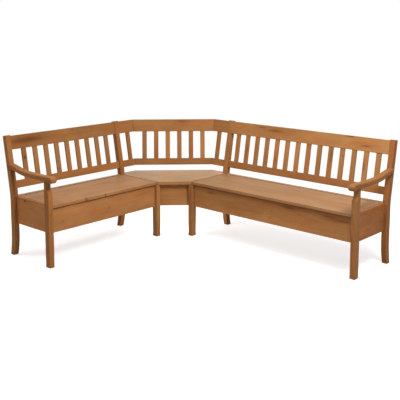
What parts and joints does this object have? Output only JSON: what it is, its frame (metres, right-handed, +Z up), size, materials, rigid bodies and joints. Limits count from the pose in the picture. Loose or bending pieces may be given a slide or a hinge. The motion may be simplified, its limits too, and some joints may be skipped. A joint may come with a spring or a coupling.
{
  "type": "corner storage bench",
  "caption": "Pine corner bench: a short and a long box bench with hinged lids, joined by a corner seat, with raked slatted backs and S-shaped armrests.",
  "frame": {"origin": "on the floor, below the middle of the whole bench's box", "axes": "+X along the long bench away from the wall corner, +Y towards the long bench's wall, +Z up"},
  "size_m": [2.324, 1.864, 0.9275],
  "materials": {
    "frame_pine": "satin honey stain",
    "slat_pine": "satin honey stain",
    "panel_pine": "satin honey stain",
    "lid_pine": "satin light stain",
    "corner_pine": "satin light stain",
    "hinge_brass": "brushed"
  },
  "bodies": {
    "frame": {"long_arm_leg": "frame_pine", "long_end_post": "frame_pine", "long_armrest": "frame_pine", "long_inner_leg": "frame_pine", "long_inner_post": "frame_pine", "long_top_rail": "frame_pine", "long_lower_rail": "frame_pine", "long_front_panel": "panel_pine", "long_back_panel": "panel_pine", "long_end_panel": "panel_pine", "long_inner_panel": "panel_pine", "long_floor_panel": "panel_pine", "long_hinge_rail": "lid_pine", "long_hinge_fixed_leaf": "hinge_brass", "short_arm_leg": "frame_pine", "short_end_post": "frame_pine", "short_armrest": "frame_pine", "short_inner_leg": "frame_pine", "short_inner_post": "frame_pine", "short_top_rail": "frame_pine", "short_lower_rail": "frame_pine", "short_front_panel": "panel_pine", "short_back_panel": "panel_pine", "short_end_panel": "panel_pine", "short_inner_panel": "panel_pine", "short_floor_panel": "panel_pine", "short_hinge_rail": "lid_pine", "short_hinge_fixed_leaf": "hinge_brass", "short_slat_1": "slat_pine", "short_slat_2": "slat_pine", "short_slat_3": "slat_pine", "short_slat_4": "slat_pine", "short_slat_5": "slat_pine", "short_slat_6": "slat_pine", "short_slat_7": "slat_pine", "short_slat_8": "slat_pine", "short_slat_9": "slat_pine", "long_slat_comb_1": "slat_pine", "long_slat_comb_2": "slat_pine", "corner_seat": "corner_pine", "corner_apron": "panel_pine", "corner_top_rail_long": "frame_pine", "corner_top_rail_short": "frame_pine", "corner_top_rail_middle": "frame_pine", "corner_lower_rail_long": "frame_pine", "corner_lower_rail_short": "frame_pine", "corner_lower_rail_middle": "frame_pine", "corner_slat_long": "slat_pine", "corner_slat_short": "slat_pine", "corner_slat_middle_1": "slat_pine", "corner_slat_middle_2": "slat_pine", "corner_slat_middle_3": "slat_pine", "corner_slat_middle_4": "slat_pine", "corner_slat_middle_5": "slat_pine", "corner_slat_middle_6": "slat_pine"},
    "long_lid_body": {"long_lid": "lid_pine", "long_hinge_lid_leaf": "hinge_brass"},
    "short_lid_body": {"short_lid": "lid_pine", "short_hinge_lid_leaf": "hinge_brass"}
  },
  "joints": [
    {"name": "long_lid_hinge", "type": "hinge", "parent": "frame", "child": "long_lid_body", "pos_m": [0.3512, 0.80645, 0.466], "axis": [-1, 0, 0], "range_deg": [0, 98]},
    {"name": "short_lid_hinge", "type": "hinge", "parent": "frame", "child": "short_lid_body", "pos_m": [-1.03645, -0.3512, 0.466], "axis": [0, -1, 0], "range_deg": [0, 98]}
  ]
}
